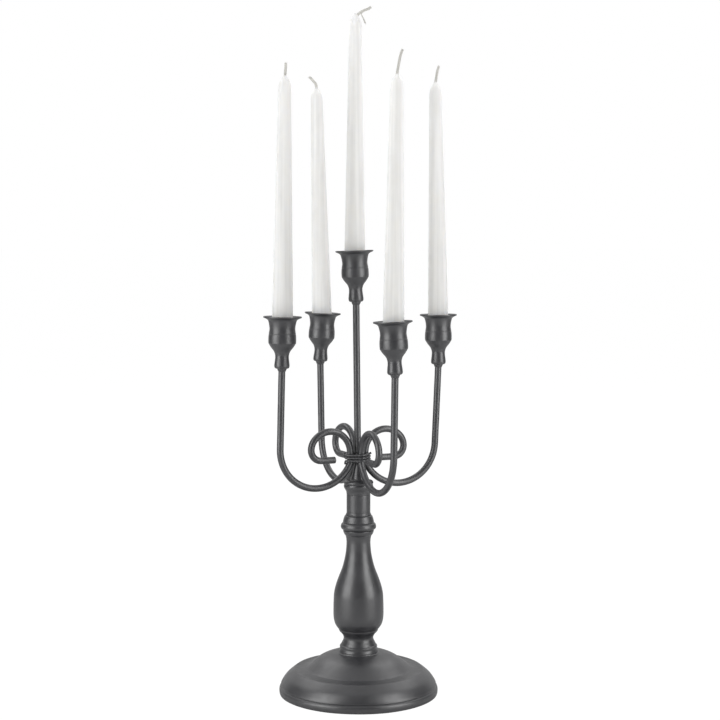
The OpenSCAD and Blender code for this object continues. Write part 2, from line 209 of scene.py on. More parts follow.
def tube_parts(route, radii, sides, first=0):
    """Points and faces of a round tube along route, capped at both ends. Its point numbers start at first."""
    route = np.array(route, float)
    along = np.gradient(route, axis=0)
    along /= np.linalg.norm(along, axis=1)[:, None]
    side = np.cross(along[0], (0, 0, 1) if abs(along[0][2]) < 0.9 else (1, 0, 0))
    points, rings = [], []
    for centre, direction, radius in zip(route, along, np.broadcast_to(radii, len(route))):
        side = side - direction * (side @ direction)
        side /= np.linalg.norm(side)
        across = np.cross(direction, side)
        rings.append(list(range(first + len(points), first + len(points) + sides)))
        for k in range(sides):
            a = 2 * math.pi * k / sides
            points.append(centre + radius * (math.cos(a) * side + math.sin(a) * across))
    start, end = first + len(points), first + len(points) + 1
    points += [route[0], route[-1]]
    return points, join_rings([[start] * sides, *rings, [end] * sides])


def cut_ends(route, radius, chamfer):
    """The route and radii of a rod whose ends are cut square, with a small chamfer."""
    route = [np.array(p, float) for p in route]
    for end, inner in ((0, 1), (-1, -2)):
        back = route[inner] - route[end]
        back /= np.linalg.norm(back)
        near, held, tip = route[end] + back * chamfer, route[end] + back * 2 * chamfer, route[end]
        if end == 0:
            route[0:1] = [tip, near, held]
        else:
            route[-1:] = [held, near, tip]
    radii = [radius - chamfer, *[radius] * (len(route) - 2), radius - chamfer]
    return route, radii


def unsettle(piece, amount, wavelength, seed=0):
    """Moves a mesh in and out a little, smoothly, as hand finishing leaves a surface."""
    shift = Vector((seed * 7.3, seed * 3.1, seed * 5.7))
    mesh = piece.data
    moved = np.empty((len(mesh.vertices), 3))
    for i, v in enumerate(mesh.vertices):
        moved[i] = v.co + v.normal * (amount * MM * noise.noise(v.co / (wavelength * MM) + shift))
    mesh.vertices.foreach_set("co", moved.ravel())
    mesh.update()


def finish_piece(piece, material, slot, body, *nodes):
    piece.data.materials.clear()
    piece.data.materials.append(material)
    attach(piece, body)
    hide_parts(*nodes)


# ---------- materials ----------


class Surface:
    """A Principled material, with short ways to add the nodes that drive it. Scales are per metre."""

    def __init__(self, name, **sockets):
        self.material = bpy.data.materials.new(name)
        self.material.use_nodes = True
        self.tree = self.material.node_tree
        self.shader = self.tree.nodes["Principled BSDF"]
        self.place = self.tree.nodes.new("ShaderNodeTexCoord").outputs["Object"]
        for socket, value in sockets.items():
            self.shader.inputs[socket.replace("_", " ")].default_value = value

    def link(self, source, target):
        self.tree.links.new(source, target)

    def stretch(self, scale):
        """Object coordinates, scaled by axis."""
        node = self.tree.nodes.new("ShaderNodeMapping")
        node.inputs["Scale"].default_value = scale
        self.link(self.place, node.inputs["Vector"])
        return node.outputs["Vector"]

    def noise(self, scale, detail=2.0, rough=0.5, at=None):
        node = self.tree.nodes.new("ShaderNodeTexNoise")
        node.inputs["Scale"].default_value = scale
        node.inputs["Detail"].default_value = detail
        node.inputs["Roughness"].default_value = rough
        self.link(at or self.place, node.inputs["Vector"])
        return node.outputs["Fac"]

    def ramp(self, factor, low, high, start=0.0, end=1.0):
        """factor from start to end becomes a number, or a colour, from low to high."""
        if isinstance(low, tuple):
            node = self.tree.nodes.new("ShaderNodeValToRGB")
            stops = node.color_ramp.elements
            stops[0].position, stops[0].color = start, (*low, 1)
            stops[1].position, stops[1].color = end, (*high, 1)
            self.link(factor, node.inputs["Fac"])
            return node.outputs["Color"]
        node = self.tree.nodes.new("ShaderNodeMapRange")
        for socket, value in zip(("From Min", "From Max", "To Min", "To Max"), (start, end, low, high)):
            node.inputs[socket].default_value = value
        self.link(factor, node.inputs["Value"])
        return node.outputs["Result"]

    def mix(self, factor, a, b):
        node = self.tree.nodes.new("ShaderNodeMix")
        node.data_type = "RGBA"
        for socket, value in zip((0, 6, 7), (factor, a, b)):
            if isinstance(value, (int, float, tuple)):
                node.inputs[socket].default_value = (*value, 1) if isinstance(value, tuple) else value
            else:
                self.link(value, node.inputs[socket])
        return node.outputs[2]

    def bump(self, height, depth_mm, strength=1.0, under=None):
        node = self.tree.nodes.new("ShaderNodeBump")
        node.inputs["Strength"].default_value = strength
        node.inputs["Distance"].default_value = depth_mm * MM
        self.link(height, node.inputs["Height"])
        if under:
            self.link(under, node.inputs["Normal"])
        self.link(node.outputs["Normal"], self.shader.inputs["Normal"])
        return node.outputs["Normal"]

    def drive(self, socket, source):
        self.link(source, self.shader.inputs[socket])


def coated_metal():
    """Charcoal powder coat: satin, with a fine orange-peel surface and faint mottling."""
    s = Surface("powder_coat", IOR=1.55, Specular_IOR_Level=0.9)
    dark, light = (0.025, 0.0252, 0.028), (0.033, 0.0332, 0.0365)
    s.drive("Base Color", s.ramp(s.noise(26, 3), dark, light, 0.35, 0.65))
    s.drive("Roughness", s.ramp(s.noise(140, 3), 0.35, 0.43, 0.3, 0.7))
    s.bump(s.noise(700, 2), 0.03, 0.25)
    return s.material


def bare_steel():
    """Zinc-plated steel, with its drawn and turned grain."""
    s = Surface("plated_steel", Metallic=1.0)
    grain = s.noise(900, 4, 0.6, at=s.stretch((1, 1, 0.08)))
    patches = s.ramp(s.noise(60, 3), 0.0, 1.0, 0.3, 0.7)
    s.drive("Base Color", s.mix(patches, (0.40, 0.41, 0.42), (0.55, 0.56, 0.57)))
    s.drive("Roughness", s.ramp(grain, 0.26, 0.48, 0.3, 0.7))
    s.bump(grain, 0.02, 0.4)
    return s.material


def felt():
    """Black pressed felt, with its matted fibres."""
    s = Surface("felt", Roughness=0.95, Sheen_Weight=0.35, Sheen_Roughness=0.5)
    nap = s.noise(900, 6, 0.75)
    s.drive("Base Color", s.ramp(nap, (0.010, 0.010, 0.011), (0.045, 0.044, 0.043), 0.35, 0.7))
    s.bump(nap, 0.35, 0.7)
    return s.material


def wax():
    """Dipped white candle wax: light passes a little way in, and the dip marks run down it."""
    s = Surface(
        "candle_wax",
        IOR=1.44,
        Specular_IOR_Level=0.2,
        Subsurface_Weight=1.0,
        Subsurface_Radius=(1.0, 0.95, 0.85),
        Subsurface_Scale=0.03,
    )
    runs = s.noise(260, 2, at=s.stretch((1, 1, 0.02)))
    cloud = s.ramp(s.noise(32, 3), (0.615, 0.615, 0.611), (0.645, 0.645, 0.641), 0.3, 0.7)
    s.drive("Base Color", s.mix(s.ramp(runs, 0.0, 0.8, 0.4, 0.62), cloud, (0.71, 0.71, 0.706)))
    s.drive("Roughness", s.ramp(s.noise(180, 3), 0.38, 0.52, 0.3, 0.7))
    marks = s.bump(runs, 0.12, 0.35)
    s.bump(s.noise(420, 3), 0.03, 0.35, under=marks)
    return s.material


def cotton():
    """Braided cotton stiffened with wax."""
    s = Surface("wick_cotton", Roughness=0.85, Sheen_Weight=0.25, Sheen_Roughness=0.6)
    threads = s.noise(2600, 3, 0.6, at=s.stretch((1, 1, 0.5)))
    s.drive("Base Color", s.ramp(threads, (0.43, 0.424, 0.396), (0.67, 0.66, 0.62), 0.3, 0.65))
    s.bump(threads, 0.12, 0.6)
    return s.material


COAT = coated_metal()
STEEL = bare_steel()
FELT = felt()
WAX = wax()
COTTON = cotton()


# ---------- foot ----------


def span(node):
    """Heights of a CAD node's bottom and top, in millimetres."""
    low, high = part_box(node)
    return low.z / MM, high.z / MM


def radius_of(node):
    low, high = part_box(node)
    return (high.x - low.x) / 2 / MM


BORE = 4.3
FOOT_R = radius_of("base_shell")
FOOT_TOP = span("base_shell")[1]
FELT_TOP = span("felt_disc")[1]
PLATE_TOP = span("base_plate")[1]
NECK_R = radius_of("column_neck")


def foot_shell():
    lip = 0.4
    seat = FOOT_TOP - 3.7
    recess_r = FOOT_R - 3.3
    shelf_r = FOOT_R - 6.5
    r = FOOT_R
    rolled_lip = [(r - 0.2, 1.8), (r, 4.4), (r - 0.5, 7), (r - 2.2, 8.9)]
    shoulder = [(r - 1.6, 9.6), (r - 2.6, 12.4), (r - 6.8, 18.4), (r - 12, 23.1), (r - 15.9, 26)]
    ring = [(r - 16.6, 26.2), (r - 21, 26), (r - 25, 26.3), (r - 28.6, 27)]
    dome = [(r - 30, 27.9), (50, 31.1), (44.4, 35.6), (38.4, 39.2), (31.6, 41.9), (27, 43), (24.4, FOOT_TOP)]
    outline = [(r - 0.6, lip), *curve(rolled_lip), *curve(shoulder), *curve(ring), *curve(dome)]
    outline += [(BORE, FOOT_TOP), (BORE, seat), (21, seat), (30, 36.8), (48, 26.4), (63, 22.8), (72.5, 16.5)]
    outline += [(shelf_r, 10), (shelf_r, PLATE_TOP), (recess_r, PLATE_TOP), (recess_r, lip)]
    piece = turned("foot_dome", soften(outline, EDGE), sides=320)
    unsettle(piece, 0.14, 34, seed=1)
    finish_piece(piece, COAT, "coated_metal", STAND, "base_shell")


def foot_plate():
    r = radius_of("base_plate")
    outline = [(0, FELT_TOP), (r, FELT_TOP), (r, PLATE_TOP), (0, PLATE_TOP)]
    piece = turned("ballast_plate", soften(outline, 0.5))
    finish_piece(piece, STEEL, "bare_steel", STAND, "base_plate")


def foot_felt():
    r = radius_of("felt_disc")
    rings = [(0, 0), *[(r * i / 24, 0) for i in range(1, 24)], (r - 0.4, 0)]
    outline = [*rings, (r, 0.5), (r, FELT_TOP - 0.4), (r - 0.3, FELT_TOP), (0, FELT_TOP)]
    piece = turned("felt_pad", outline, sides=256)
    finish_piece(piece, FELT, "felt", STAND, "felt_disc")


def threaded_rod():
    """The tie rod with its M8 thread."""
    bottom, top = span("tie_rod")
    pitch, crest, depth = 1.25, 3.95, 0.6
    sides, steps = 24, 6
    chamfer_l, chamfer_depth = 1.2, 0.7
    rings_n = int((top - bottom) / pitch * steps)
    points = [(0, 0, bottom)]
    rings = [[0] * sides]
    for i in range(rings_n + 1):
        z = bottom + (top - bottom) * i / rings_n
        end_taper = min(1, (z - bottom) / chamfer_l + 0.2, (top - z) / chamfer_l + 0.2)
        ring = []
        for k in range(sides):
            phase = (z / pitch - k / sides) % 1
            radius = crest - depth * min(1, abs(2 * phase - 1) * 1.3) - (1 - end_taper) * chamfer_depth
            a = 2 * math.pi * k / sides
            ring.append(len(points))
            points.append((radius * math.cos(a), radius * math.sin(a), z))
        rings.append(ring)
    rings.append([len(points)] * sides)
    points.append((0, 0, top))
    piece = add_mesh("tie_bolt", points, join_rings(rings))
    finish_piece(piece, STEEL, "bare_steel", STAND, "tie_rod")


def hex_nut():
    """The clamping nut: a hexagon with its corners chamfered top and bottom."""
    bottom, top = span("tie_nut")
    flats, sides = 13, 96
    hole, hole_chamfer = 4.02, 0.4
    face_r, chamfer_slope = 6.35, 1.9
    heights = [0, 0.15, 0.4, 0.8, 1.3, 2, (top - bottom) / 2]
    levels = sorted({round(z, 3) for h in heights for z in (bottom + h, top - h)})
    points, rings = [], []
    for z in levels:
        inset = min(z - bottom, top - z)
        ring = []
        for k in range(sides):
            a = 360 * k / sides
            flat_r = flats / 2 / math.cos(math.radians((a + 30) % 60 - 30))
            radius = min(flat_r, face_r + inset * chamfer_slope)
            ring.append(len(points))
            points.append((*polar(radius, a), z))
        rings.append(ring)
    for z in (top, top - 0.5, bottom + 0.5, bottom):
        flare = hole_chamfer if z in (top, bottom) else 0
        rings.append(list(range(len(points), len(points) + sides)))
        points += [(*polar(hole + flare, 360 * k / sides), z) for k in range(sides)]
    piece = add_mesh("clamp_nut", points, join_rings(rings, closed=True))
    finish_piece(piece, STEEL, "bare_steel", STAND, "tie_nut")


def washer():
    bottom, top = span("tie_washer")
    r = 11
    outline = [(BORE, bottom), (r, bottom), (r, top), (BORE, top)]
    piece = turned("clamp_washer", soften(outline, 0.35), sides=96)
    finish_piece(piece, STEEL, "bare_steel", STAND, "tie_washer")


# ---------- column ----------


def section(name, node, outside, inside=()):
    """A turned section of the column, bored for the tie rod. Its outline is given above its own bottom."""
    bottom, top = span(node)
    outline = [(BORE, 0), *outside, (BORE, top - bottom), *inside]
    outline = [(r, z + bottom) for r, z in soften(outline, EDGE)]
    piece = turned(name, outline)
    unsettle(piece, 0.05, 16, seed=bottom)
    finish_piece(piece, COAT, "coated_metal", STAND, node)


def height(node):
    bottom, top = span(node)
    return top - bottom


def column():
    column_foot()
    column_vase()
    column_collar()
    column_neck()
    column_cap()


def column_foot():
    h = height("column_foot")
    bead = [(21.4, 0), (20.7, 0.5), (20.5, 1.3), (20.5, 2.4)]
    bead += [(20, 3.8), (19.7, 5.2), (19.8, 6.8), (19.6, 7.8), (19, 8.4)]
    waist = [(18.6, 8.8), (18.2, 9.6), (17.4, 11.2), (16.4, 13), (15.8, 14.8)]
    waist += [(15.7, 16.4), (16, 17.8), (16.6, 19.1), (17.4, 20.3), (18.5, 21.5), (19.3, h)]
    section("turned_base", "column_foot", curve(bead) + curve(waist))


def column_vase():
    h = height("column_vase")
    lip = [(19.5, 0), (20.2, 0.9), (20.7, 1.9), (20.9, 2.9)]
    body = [(21.2, 3.3), (22.5, 4.9), (23.9, 7.1), (25, 9.4), (25.7, 11.8), (26.2, 14.4), (26.5, 18.5)]
    body += [(26.5, 26.5), (26.3, 33.5), (25.7, 42.1), (23.7, 50.5), (20.5, 59.5), (17.35, 67.5)]
    body += [(15, 76.1), (13.4, 84.6), (12.7, 93.1), (12.8, 98.2), (13.6, h)]
    hollow = [(BORE, h - 12), (9, 86), (10.5, 78), (14.2, 65), (20.6, 48.5)]
    hollow += [(23, 38), (23, 14), (17, 6.5), (BORE, 5)]
    section("turned_vase", "column_vase", curve(lip) + curve(body), curve(hollow, 4))


def column_collar():
    h = height("column_collar")
    lip = [(13.9, 0), (14.7, 1.1), (15.4, 2.3), (15.9, 3.7), (16.2, 4.9), (15.9, 5.5)]
    groove = [(15.4, 5.8)]
    bead = [(16, 6), (17.4, 6.8), (18.3, 7.9), (18.6, 9.3), (18.4, 10.8), (17.9, 12.1), (16.9, 13.1)]
    small_bead = [(16, 13.5), (16.3, 14.2), (16.2, 15.2), (15.8, 16.8), (15.3, 18.6), (14.5, 20.6)]
    shoulder = [(13.1, 21.3), (13.5, 21.9), (13.1, 22.7), (12.6, 23.6), (NECK_R, h)]
    outside = curve(lip) + groove + curve(bead) + curve(small_bead) + curve(shoulder)
    section("turned_collar", "column_collar", outside)


def column_neck():
    h = height("column_neck")
    section("turned_neck", "column_neck", [(NECK_R, h * i / 12) for i in range(13)])


def column_cap():
    """The cap is solid above the tie rod, and ends in a small cone that takes the stem."""
    flat = 15
    cone = flat + 18
    bead = [(12.6, 0.9), (12.8, 2.6), (13.3, 3.9), (14.2, 5.4), (15, 6.9), (15.4, 8.2), (15.4, 9.5)]
    bead += [(15.1, 10.4)]
    small_bead = [(14.8, 10.8), (15.3, 11.4), (15.6, 12.3), (15.4, 13.3), (14.8, 14.1), (13.8, 14.7)]
    ferrule = [(9, 0.3), (7.9, 2.2), (7, 5), (6.2, 9), (5.1, 14), (ROD_R + 0.35, cone - flat)]
    outside = [(0, 0), (NECK_R, 0), *curve(bead), *curve(small_bead), (12.8, flat), (9.6, flat)]
    outside += [*curve([(r, flat + z) for r, z in ferrule]), (0, cone)]
    bottom = span("column_cap")[0]
    piece = turned("turned_cap", [(r, z + bottom) for r, z in soften(outside, EDGE)])
    unsettle(piece, 0.05, 16, seed=5)
    finish_piece(piece, COAT, "coated_metal", STAND, "column_cap")


# ---------- rods ----------
# A rod is bent in its own upright plane. A state is (reach, height, heading). A step is
# (radius, degrees to the left), or (0, length) for a straight.


def bend(state, step, share=1.0):
    """The state part of the way, or all the way, through a step."""
    x, z, heading = state
    radius, amount = step[0], step[1] * share
    if radius == 0:
        x, z = np.array([x, z]) + polar(amount, heading)
        return x, z, heading
    side = math.copysign(radius, amount)
    turn_from, turn_to = math.radians(heading), math.radians(heading + amount)
    x += side * (math.sin(turn_to) - math.sin(turn_from))
    z -= side * (math.cos(turn_to) - math.cos(turn_from))
    return x, z, heading + amount


def rod_route(state, steps, spacing=1.5):
    """Points (reach, height) along a bent rod, and its last state."""
    route = [state[:2]]
    for step in steps:
        length = step[1] if step[0] == 0 else math.radians(abs(step[1])) * step[0]
        pieces = max(2, round(length / spacing))
        route += [bend(state, step, i / pieces)[:2] for i in range(1, pieces + 1)]
        state = bend(state, step)
    return route, state


def stand_up(route, azimuth):
    """Turns a route in its own plane to its place about the Z axis."""
    return [(*polar(reach, azimuth), z) for reach, z in route]


def bound_reach(name):
    """How far from the axis an arm stands where the wire binds it."""
    return BUNDLE_R + (LEFT_OUT if name == "left" else 0)


def arm_start(name, up_or_down):
    return bound_reach(name), BIND_TOP_Z - ARMS[name]["scroll_drop"], up_or_down


def arm_steps(name):
    """An arm's way down from its binding, round the large bend and up to its cup."""
    arm, out = ARMS[name], bound_reach(name) - BUNDLE_R
    first = 3.8 + arm["bend_drop"] - arm["scroll_drop"] + 0.3 * out
    splay = 27
    return [(0, first), (10, splay), (ARM_BEND_R - out / 2, 180 - splay - arm["lean"]), (0, arm["upright"])]


def scroll_steps(name):
    """An arm's other way, up and over the top of the scroll and back towards the stem."""
    return [(45, -10), (ARMS[name]["scroll_r"], -130), (16, -40), (11.5, -90), (0, 15.5)]


def lean_matrix(angle, toward):
    """A lean of angle degrees towards the azimuth toward."""
    turn = Matrix.Rotation(math.radians(toward), 4, "Z")
    return turn @ Matrix.Rotation(math.radians(angle), 4, "Y") @ turn.inverted()


def rod_end(branch):
    """Where a cup's underside meets its rod, and the rod's lean there."""
    if branch == "centre":
        (low, first_lean), (high, lean) = STEM_BENDS
        reach = (high - low) * math.tan(math.radians(first_lean))
        reach += (CENTRE_CUP_Z - high) * math.tan(math.radians(lean))
        return Vector((*polar(reach, SIDE_B), CENTRE_CUP_Z)), lean_matrix(lean, SIDE_B)
    arm = ARMS[branch]
    reach, z, _ = rod_route(arm_start(branch, -90), arm_steps(branch))[1]
    return Vector((*polar(reach, arm["azimuth"]), z)), lean_matrix(arm["lean"], arm["azimuth"])


def cup_frame(branch):
    """A cup's own axes, in millimetres."""
    return Matrix.Translation(rod_end(branch)[0]) @ lean_matrix(*CUP_LEAN[branch])


def candle_frame(branch):
    """A candle's own axes, from its foot, in millimetres. It leans about the neck of its cup."""
    neck = cup_frame(branch) @ Vector((0, 0, CUP_NECK))
    drop = Matrix.Translation((0, 0, -CANDLE_DROP))
    return Matrix.Translation(neck) @ lean_matrix(*CANDLE_LEAN[branch]) @ drop


def in_metres(place):
    """A placing given in millimetres, for a mesh that is in metres."""
    return Matrix.Translation(place.translation * MM) @ place.to_3x3().to_4x4()


def rod(name, route, node):
    """A coated rod along a route, with its ends cut square."""
    route, radii = cut_ends(route, ROD_R, 0.3)
    piece = add_mesh(name, *tube_parts(route, radii, ROD_SIDES))
    unsettle(piece, 0.06, 9, seed=len(name))
    finish_piece(piece, COAT, "coated_metal", STAND, node)


def arms():
    for name, arm in ARMS.items():
        steps = arm_steps(name)
        steps[-1] = (0, steps[-1][1] + ROD_IN_CUP)
        down, _ = rod_route(arm_start(name, -90), steps)
        over, _ = rod_route(arm_start(name, 90), scroll_steps(name))
        rod(f"bent_arm_{name}", stand_up(down[::-1] + over[1:], arm["azimuth"]), f"arm_{name}")


def centre_stem():
    bottom = span("centre_stem")[0]
    (low, first_lean), (high, lean) = STEM_BENDS
    top_l = (CENTRE_CUP_Z - high) / math.cos(math.radians(lean)) + ROD_IN_CUP
    middle_l = (high - low) / math.cos(math.radians(first_lean))
    # Each small bend takes half_l of the straight on either side of it
    half_l = 1.5
    steps = [
        (0, low - bottom - half_l),
        (2 * half_l / math.radians(first_lean), -first_lean),
        (0, middle_l - 2 * half_l),
        (2 * half_l / math.radians(first_lean - lean), first_lean - lean),
        (0, top_l - half_l),
    ]
    route, _ = rod_route((0, bottom, 90), steps, 3)
    rod("stem_rod", stand_up(route, SIDE_B), "centre_stem")


# ---------- binding wire ----------
# The wire goes round the four arms counter-clockwise, rising steadily. Its way is counted in arms, from
# half-way round the left arm to the right arm, about two and a half turns later.

WIRE_HUG = ROD_R + WIRE_R + 0.2
WIRE_PITCH = 2.9
WIRE_FIRST = 2
WIRE_LAST = 12
WIRE_MIDDLE = (WIRE_FIRST + WIRE_LAST) / 2


def wire_z(i):
    """Height of the wire when it has come to arm i, which may be a fraction."""
    return BIND_Z + (i - WIRE_MIDDLE) / len(ARMS) * WIRE_PITCH


def bound_at(i):
    """Middle of arm i where the wire binds it."""
    name = list(ARMS)[i % len(ARMS)]
    return polar(bound_reach(name), ARMS[name]["azimuth"])


def leave(i):
    """Side of an arm, as an angle, where the wire leaves it for the next."""
    x, y = bound_at(i + 1) - bound_at(i)
    return math.degrees(math.atan2(y, x)) - 90


def wire_round(i, start=0.0):
    """Points round arm i, from a share of its bend to the end of it."""
    first = leave(i - 1)
    turn = (leave(i) - first) % 360
    route = []
    for share in np.linspace(start, 1, round(18 * (1 - start))):
        route.append(np.array([*bound_at(i) + polar(WIRE_HUG, first + turn * share), wire_z(i + share / 2)]))
    return route


def wire_over(i):
    """Points on the way from arm i to the next."""
    route = []
    for share in np.linspace(0, 1, 8)[1:-1]:
        xy = bound_at(i) * (1 - share) + bound_at(i + 1) * share + polar(WIRE_HUG, leave(i))
        route.append(np.array([*xy, wire_z(i + 0.5 + share / 2)]))
    return route


def unit(v):
    v = np.array(v, float)
    return v / np.linalg.norm(v)


def wire_end(start, ahead, aside, radius, turn, straight):
    """A free end of the wire, from start along ahead, bending by turn degrees towards aside."""
    aside = unit(aside - ahead * (ahead @ aside))
    angles = np.radians(np.linspace(0, turn, 11)[1:])
    route = [start + radius * (math.sin(a) * ahead + (1 - math.cos(a)) * aside) for a in angles]
    final = math.cos(angles[-1]) * ahead + math.sin(angles[-1]) * aside
    return route + [route[-1] + final * s for s in np.linspace(0, straight, 4)[1:]]


def binding():
    route = wire_round(WIRE_FIRST, 0.5)
    for i in range(WIRE_FIRST + 1, WIRE_LAST):
        route += [*wire_over(i - 1), *wire_round(i)]
    route += wire_over(WIRE_LAST - 1)
    hanging = wire_end(route[0], unit(route[0] - route[1]), np.array([0, 0, -1.0]), 1.9, 75, 2.2)
    outwards = unit((*polar(1, leave(WIRE_LAST - 1)), 0.35))
    cut = wire_end(route[-1], unit(route[-1] - route[-2]), outwards, 2.2, 60, 0.9)
    route, radii = cut_ends(hanging[::-1] + route + cut, WIRE_R, 0.18)
    piece = add_mesh("wire_binding", *tube_parts(route, radii, 16))
    unsettle(piece, 0.05, 4, seed=11)
    finish_piece(piece, COAT, "coated_metal", STAND, "binding_wire")


# ---------- welds ----------


def arm_weld_beads():
    """Four tacks between the arms, hidden by the wire."""
    half_l = 4.5
    middle = BIND_Z - 0.5
    z = np.linspace(middle - half_l, middle + half_l, 28)
    # A row of small ripples, drawn in at both ends
    radii = TACK_R - 0.15 * np.abs(np.sin(z * 2.2)) - 0.9 * np.abs((z - middle) / half_l) ** 6
    points, faces = [], []
    for b, reach in enumerate(TACK_REACH):
        x, y = polar(reach, 45 + 90 * b)
        new_points, new_faces = tube_parts([(x, y, level) for level in z], radii, 20, len(points))
        points += new_points
        faces += new_faces
    piece = add_mesh("arm_tacks", points, faces)
    finish_piece(piece, COAT, "coated_metal", STAND, "arm_welds")


def cup_weld_beads():
    """A rough cone of weld under each cup, smoothed over by the coat."""
    sides = 48
    outline = [(3.45, -4.1), (3.85, -3.8), (4.15, -3), (4.55, -2.1), (4.85, -1.4), (5, -0.9), (4.6, -0.4)]
    outline += [(3.4, -0.4)]
    smooth_r = 3.6
    points, faces = [], []
    for number, branch in enumerate(BRANCHES):
        centre, tilt = rod_end(branch)
        rings = []
        for r, z in outline:
            ring = []
            for k in range(sides):
                a = 360 * k / sides
                lump = noise.noise(Vector((*polar(1.6, a), z * 0.7 + number * 9)))
                rough = 1 + (0.07 * lump if r > smooth_r else 0)
                p = centre + tilt @ Vector((*polar(r * rough, a), z))
                ring.append(len(points))
                points.append(p)
            rings.append(ring)
        faces += join_rings(rings, closed=True)
    piece = add_mesh("cup_weld_beads", points, faces)
    finish_piece(piece, COAT, "coated_metal", STAND, "cup_welds")


# ---------- cups ----------


def cups():
    foot = [(0, CUP_BASE), (6.3, CUP_BASE), (7.4, 0)]
    funnel = [(7.7, 0.8), (7.85, 2.4), (7.6, 5), (7.15, 8.6), (7, 11), (7.2, 13.4), (8.5, 17), (11.6, 21)]
    funnel += [(13.7, 24.4)]
    belly = [(14.1, 25), (14.25, 27.5), (14.2, 31), (13.95, 34.1)]
    fine_line = [(13.7, 34.35), (13.7, 34.75)]
    flare = [(13.85, 35), (13.2, CUP_NECK), (13.45, 43), (14.3, 47), (14.9, 48.5), (16.3, 49.7), (18.3, 50.6)]
    flare += [(19.3, 50.9)]
    inside = [(19.5, CUP_H), (17.4, 52.2), (14.9, 51), (13.4, 48), (12.5, 44), (12.1, CUP_NECK)]
    inside += [(12.75, 34), (13.2, 29.6), (13, 26.4), (11.6, 23.4), (9.4, 20.6), (7, 18)]
    outside = [*foot, *curve(funnel), *curve(belly), *fine_line, *curve(flare)]
    outline = soften([*outside, (19.8, 51.6), *curve(inside), (3, 14), (0, 13.4)], EDGE)
    for number, branch in enumerate(BRANCHES):
        piece = turned(f"candle_cup_{branch}", outline, 144, in_metres(cup_frame(branch)))
        unsettle(piece, 0.06, 12, seed=20 + number)
        finish_piece(piece, COAT, "coated_metal", STAND, f"cup_{branch}")


# ---------- candles ----------


def candles():
    # The tip is given from its shoulder, tip_l below the top of the wax
    tip_l = 10
    shoulder = CANDLE_L - tip_l
    foot = [(0, 0), (CANDLE_R - 1, 0), (CANDLE_R - 0.2, 0.5), (CANDLE_R, 1.6)]
    taper = [(CANDLE_R - 0.05, 10), (10.5, 42), (9.8, CANDLE_L * 0.3), (7.9, CANDLE_L * 0.68)]
    taper += [(6.6, shoulder - 4)]
    tip = [(6.4, 0), (5.9, 3), (4.9, 5.7), (3.4, 8.1), (2.3, 9.7), (1.85, 10.4), (1.5, 11.1)]
    above = [*curve([(r, shoulder + z) for r, z in tip], 5), (0, shoulder + 11.2)]
    outline = soften([*foot, *curve(taper, 24), *above], 0.5)
    # How much higher the wax runs up some of the tips
    tip_rise = {"right": 1.5, "front": -0.4}
    for number, branch in enumerate(BRANCHES):
        rise = tip_rise.get(branch, 0)
        dipped = [(r, z + rise * max(0, z - shoulder) / tip_l) for r, z in outline]
        piece = turned(f"taper_{branch}_wax", dipped, 96, in_metres(candle_frame(branch)))
        unsettle(piece, 0.06, 30, seed=30 + number)
        unsettle(piece, 0.02, 6, seed=40 + number)
        finish_piece(piece, WAX, "wax", f"taper_{branch}", f"candle_{branch}")


# ---------- wicks ----------
# Each wick runs up its candle as a plain core. From WICK_IN below the top of the wax it is braided, and given
# here as the way that it bends and the steps of a bent rod.

WICK_BOTTOM = 6
WICK_IN = 6
WICKS = {
    "right": (SIDE_A, [(0, 6), (12, -10), (0, 10), (34, -12)]),
    "back": (SIDE_B, [(0, 8.3), (7, -42), (0, 3), (48, -6)]),
    "left": (SIDE_A, [(0, 3), (30, -4), (0, 9.3), (95, 3)]),
    "front": (SIDE_A, [(0, 6), (12, -9), (0, 12.7), (38, -15)]),
    "centre": (SIDE_A, [(0, 0.6), (6.5, -46), (24, -26), (12.5, 24)]),
}
STRAND_R = 0.72
BRAID_PITCH = 5.2
BRAID_WIDE = 0.8
BRAID_DEEP = 0.4


def braid(route):
    """Three strands that cross over and under along a route, each a list of points."""
    route = np.array(route, float)
    steps = np.linalg.norm(np.diff(route, axis=0), axis=1)
    distance = np.concatenate([[0], np.cumsum(steps)])
    along = np.gradient(route, axis=0)
    along /= np.linalg.norm(along, axis=1)[:, None]
    side = np.cross(along, (0.35, 0.93, 0.1))
    side /= np.linalg.norm(side, axis=1)[:, None]
    across = np.cross(along, side)
    strands = []
    for k in range(3):
        phase = 2 * math.pi * (distance / BRAID_PITCH + k / 3)
        wide, deep = BRAID_WIDE * np.sin(phase), BRAID_DEEP * np.sin(2 * phase)
        strands.append(route + wide[:, None] * side + deep[:, None] * across)
    return strands


def fibres(chance, start, direction, count, length, spread, radius):
    """Fine loose fibres that leave start along direction, each a (route, radii) pair."""
    made = []
    for _ in range(count):
        aim = np.array(direction) + np.array([chance.gauss(0, spread) for _ in range(3)])
        aim /= np.linalg.norm(aim)
        droop = np.array([chance.gauss(0, 0.35) for _ in range(3)]) / length
        reach = length * chance.uniform(0.5, 1)
        origin = np.array(start) + np.array([chance.gauss(0, 0.22) for _ in range(3)])
        steps = np.linspace(0, reach, 6)
        made.append(([origin + aim * s + droop * s * s for s in steps], radius * np.linspace(1, 0.45, 6)))
    return made


